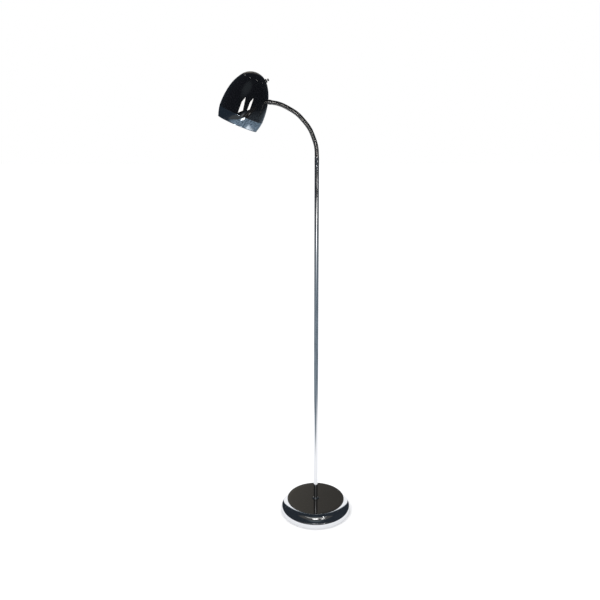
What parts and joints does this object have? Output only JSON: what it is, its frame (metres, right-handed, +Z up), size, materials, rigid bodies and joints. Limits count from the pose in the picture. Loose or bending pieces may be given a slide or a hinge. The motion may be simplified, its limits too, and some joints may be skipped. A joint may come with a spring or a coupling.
{
  "type": "floor lamp",
  "caption": "Reading floor lamp: weighted chromed round foot, slim pole, ribbed bending gooseneck and a tilted gloss black bell shade with a chromed mouth band and a turning switch.",
  "frame": {"origin": "centre of the foot's underside at floor level, on the pole's axis", "axes": "+Z up along the pole; the gooseneck bends towards -X at rest; the picture looks along +Y"},
  "size_m": [0.4276, 0.2513, 1.511],
  "materials": {
    "bright_chrome": "polished",
    "neck_chrome": "polished, finely ribbed",
    "gloss_black": "gloss black lacquer",
    "plated_steel": "zinc plated",
    "cast_weight": "as cast, painted",
    "pad_rubber": "matte",
    "black_nylon": "moulded",
    "holder_plastic": "moulded",
    "contact_brass": "bare",
    "cap_metal": "bright",
    "bulb_glass": "frosted",
    "key_metal": "satin"
  },
  "bodies": {
    "stand": {"foot_pads": "pad_rubber", "base_plate": "plated_steel", "plate_screws": "plated_steel", "base_weight": "cast_weight", "base_cover": "bright_chrome", "base_disc": "gloss_black", "cord_bushing": "black_nylon", "cord_bushing_nut": "black_nylon", "foot_collar": "bright_chrome", "pole_stud": "plated_steel", "pole_washer": "plated_steel", "pole_nut": "plated_steel", "pole_foot_insert": "plated_steel", "pole_lower": "bright_chrome", "pole_upper": "bright_chrome", "pole_coupler": "plated_steel", "neck_ferrule": "bright_chrome"},
    "neck_1": {"neck_link_01": "neck_chrome"},
    "neck_2": {"neck_link_02": "neck_chrome"},
    "neck_3": {"neck_link_03": "neck_chrome"},
    "neck_4": {"neck_link_04": "neck_chrome"},
    "neck_5": {"neck_link_05": "neck_chrome"},
    "neck_6": {"neck_link_06": "neck_chrome"},
    "neck_7": {"neck_link_07": "neck_chrome"},
    "neck_8": {"neck_link_08": "neck_chrome"},
    "neck_9": {"neck_link_09": "neck_chrome"},
    "neck_10": {"neck_link_10": "neck_chrome"},
    "neck_11": {"neck_link_11": "neck_chrome"},
    "head": {"neck_link_12": "neck_chrome", "neck_collar": "bright_chrome", "neck_stud": "plated_steel", "neck_washer": "plated_steel", "neck_nut": "plated_steel", "shade_shell": "gloss_black", "shade_band": "bright_chrome", "holder_bracket": "plated_steel", "holder_skirt": "holder_plastic", "holder_cap": "holder_plastic", "holder_ring": "holder_plastic", "screw_shell": "contact_brass", "centre_contact": "contact_brass", "bulb_glass": "bulb_glass", "bulb_cap": "cap_metal", "bulb_contact": "contact_brass", "switch_body": "holder_plastic", "switch_nut": "plated_steel"},
    "switch_knob": {"switch_stem": "plated_steel", "switch_key": "key_metal"}
  },
  "joints": [
    {"name": "neck_side_01", "type": "hinge", "parent": "stand", "child": "neck_1", "pos_m": [0, 0, 1.2581], "axis": [1, 0, 0], "range_deg": [-15, 15]},
    {"name": "neck_bend_02", "type": "hinge", "parent": "neck_1", "child": "neck_2", "pos_m": [0, 0, 1.2777], "axis": [0, -1, 0], "range_deg": [-15.8, 6.67]},
    {"name": "neck_bend_03", "type": "hinge", "parent": "neck_2", "child": "neck_3", "pos_m": [-0.00347, 0, 1.29699], "axis": [0, -1, 0], "range_deg": [-15.8, 6.67]},
    {"name": "neck_side_04", "type": "hinge", "parent": "neck_3", "child": "neck_4", "pos_m": [-0.0103, 0, 1.31536], "axis": [0.9373, 0, 0.3486], "range_deg": [-15, 15]},
    {"name": "neck_bend_05", "type": "hinge", "parent": "neck_4", "child": "neck_5", "pos_m": [-0.01713, 0, 1.33373], "axis": [0, -1, 0], "range_deg": [-15.8, 6.67]},
    {"name": "neck_bend_06", "type": "hinge", "parent": "neck_5", "child": "neck_6", "pos_m": [-0.02711, 0, 1.3506], "axis": [0, -1, 0], "range_deg": [-15.8, 6.67]},
    {"name": "neck_side_07", "type": "hinge", "parent": "neck_6", "child": "neck_7", "pos_m": [-0.03992, 0, 1.36544], "axis": [0.757, 0, 0.6534], "range_deg": [-15, 15]},
    {"name": "neck_bend_08", "type": "hinge", "parent": "neck_7", "child": "neck_8", "pos_m": [-0.05273, 0, 1.38028], "axis": [0, -1, 0], "range_deg": [-15.8, 6.67]},
    {"name": "neck_bend_09", "type": "hinge", "parent": "neck_8", "child": "neck_9", "pos_m": [-0.06796, 0, 1.39261], "axis": [0, -1, 0], "range_deg": [-15.8, 6.67]},
    {"name": "neck_side_10", "type": "hinge", "parent": "neck_9", "child": "neck_10", "pos_m": [-0.08513, 0, 1.40205], "axis": [0.4818, 0, 0.8763], "range_deg": [-15, 15]},
    {"name": "neck_bend_11", "type": "hinge", "parent": "neck_10", "child": "neck_11", "pos_m": [-0.10231, 0, 1.4115], "axis": [0, -1, 0], "range_deg": [-15.8, 6.67]},
    {"name": "neck_bend_12", "type": "hinge", "parent": "neck_11", "child": "head", "pos_m": [-0.12089, 0, 1.41775], "axis": [0, -1, 0], "range_deg": [-15.8, 6.67]},
    {"name": "switch_turn", "type": "hinge", "parent": "head", "child": "switch_knob", "pos_m": [-0.15461, 0, 1.48246], "axis": [0.8942, 0, 0.4478], "continuous": true}
  ],
  "couplings": [
    {"joint": "neck_bend_03", "follows": "neck_bend_02", "ratio": 1},
    {"joint": "neck_side_04", "follows": "neck_side_01", "ratio": 1},
    {"joint": "neck_bend_05", "follows": "neck_bend_02", "ratio": 1},
    {"joint": "neck_bend_06", "follows": "neck_bend_02", "ratio": 1},
    {"joint": "neck_side_07", "follows": "neck_side_01", "ratio": 1},
    {"joint": "neck_bend_08", "follows": "neck_bend_02", "ratio": 1},
    {"joint": "neck_bend_09", "follows": "neck_bend_02", "ratio": 1},
    {"joint": "neck_side_10", "follows": "neck_side_01", "ratio": 1},
    {"joint": "neck_bend_11", "follows": "neck_bend_02", "ratio": 1},
    {"joint": "neck_bend_12", "follows": "neck_bend_02", "ratio": 1}
  ]
}
